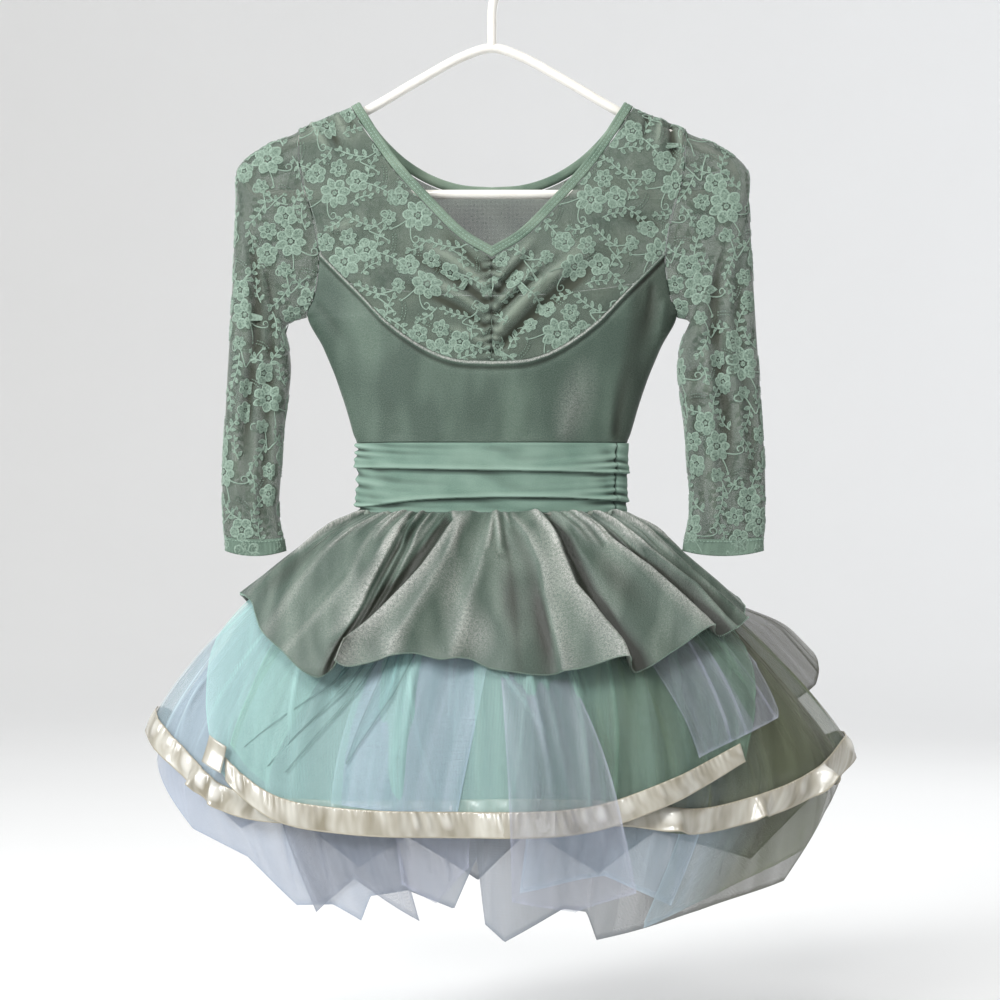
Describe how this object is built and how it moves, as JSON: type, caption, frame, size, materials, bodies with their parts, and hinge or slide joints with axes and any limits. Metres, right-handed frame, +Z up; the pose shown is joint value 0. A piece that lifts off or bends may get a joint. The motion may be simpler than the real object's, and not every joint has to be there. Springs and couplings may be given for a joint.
{
  "type": "ballet dress with a tutu skirt, on a hanger",
  "caption": "Sage green ballet dress with lace sleeves, velvet bodice, gathered sash, peplum and layered tulle skirt with ribbon hems, on a white hanger.",
  "frame": {"origin": "the seat inside the top of the hanger's hook, where a rail or wall hook carries the dress", "axes": "+Z up, the front of the dress faces -Y, +X to the viewer's right as seen from the front"},
  "size_m": [0.5903, 0.3133, 0.8264],
  "materials": {
    "lace": "sage green flower lace on fine net, slightly sheer",
    "velvet": "sage green stretch velvet with a silvery sheen",
    "jersey": "plain matte stretch jersey",
    "tulle": "pale blue green sheer tulle",
    "under_tulle": "pale lavender grey sheer tulle with raw edges",
    "ribbon": "cream satin ribbon",
    "hanger_plastic": "white tube, glossy"
  },
  "bodies": {
    "root": {"hanger": "hanger_plastic", "yoke_front_left": "lace", "yoke_front_right": "lace", "yoke_back": "lace", "neck_binding": "jersey", "bodice_front": "velvet", "bodice_back": "velvet", "sleeve_left": "lace", "sleeve_right": "lace", "sash_front": "jersey", "sash_back": "jersey", "peplum_front": "velvet", "peplum_back": "velvet", "tulle_top_front": "tulle", "tulle_top_back": "tulle", "ribbon_top_front": "ribbon", "ribbon_top_back": "ribbon", "tulle_low_front": "tulle", "tulle_low_back": "tulle", "ribbon_low_front": "ribbon", "ribbon_low_back": "ribbon", "under_tulle_front": "under_tulle", "under_tulle_back": "under_tulle"}
  },
  "joints": []
}
